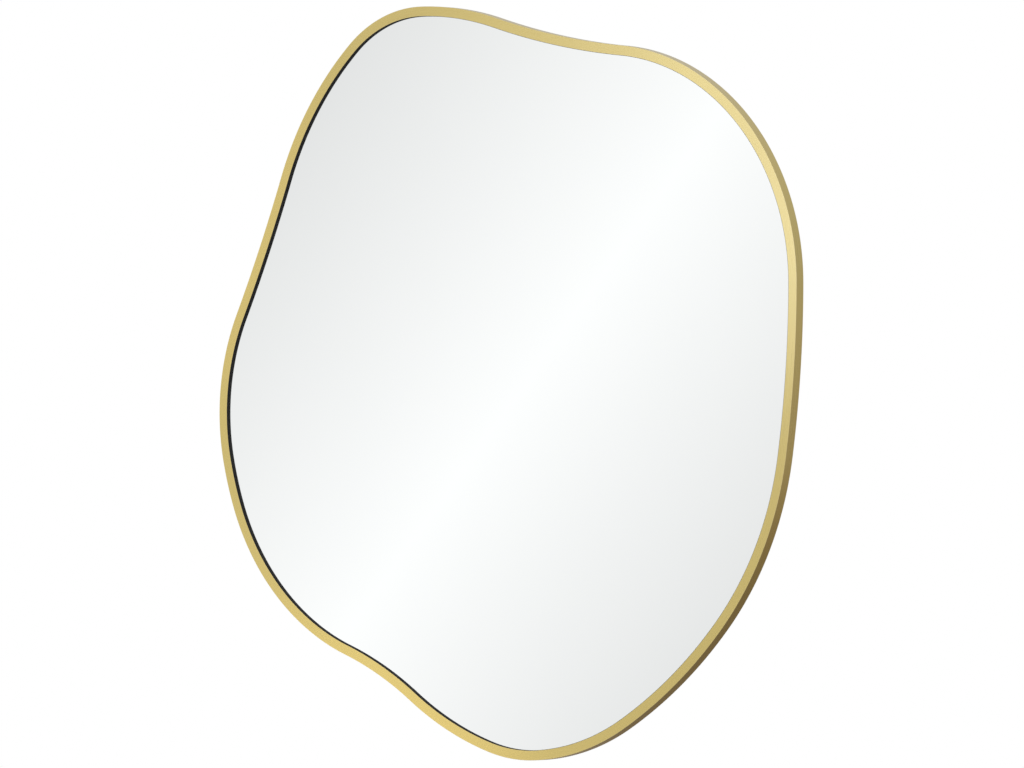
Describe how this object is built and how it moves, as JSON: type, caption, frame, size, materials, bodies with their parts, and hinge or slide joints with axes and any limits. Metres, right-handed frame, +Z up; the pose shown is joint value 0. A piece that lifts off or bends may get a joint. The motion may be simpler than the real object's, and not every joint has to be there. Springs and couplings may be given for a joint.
{
  "type": "irregular shaped wall mirror",
  "caption": "Wall mirror with a free-form outline, a thin flat metal frame, a closed back and a lift-off two-part hanging rail.",
  "frame": {"origin": "middle of the wall rail's row of holes, on the wall plane, straight behind the mirror's balance line", "axes": "+Z up, +Y from the mirror towards the wall, so the mirror faces -Y; +X to the right seen from the front"},
  "size_m": [0.9539, 0.0189, 0.9873],
  "materials": {
    "brushed_brass": "fine satin brushed along the frame",
    "lug_metal": "unpolished",
    "black_tape": "matt",
    "mirror": "polished",
    "film": "satin",
    "foam": "matt",
    "black_rubber": "matt",
    "black_board": "matt painted board",
    "zinc_steel": "zinc plated",
    "rail_aluminium": "mill finish"
  },
  "bodies": {
    "wall_side": {"wall_rail": "rail_aluminium"},
    "mirror": {"face_ring": "brushed_brass", "side_band": "brushed_brass", "frame_lugs": "lug_metal", "glazing_tape": "black_tape", "mirror_glass": "mirror", "safety_film": "film", "foam_pads": "foam", "setting_blocks": "black_rubber", "backing_board": "black_board", "board_screws": "zinc_steel", "hanging_rail": "rail_aluminium", "rail_screws": "zinc_steel", "rail_nuts": "zinc_steel", "wall_bumpers": "black_rubber"}
  },
  "joints": [
    {"name": "lift_off", "type": "slide", "parent": "wall_side", "child": "mirror", "axis": [0, 0, 1], "range_m": [0, 0.02]}
  ]
}
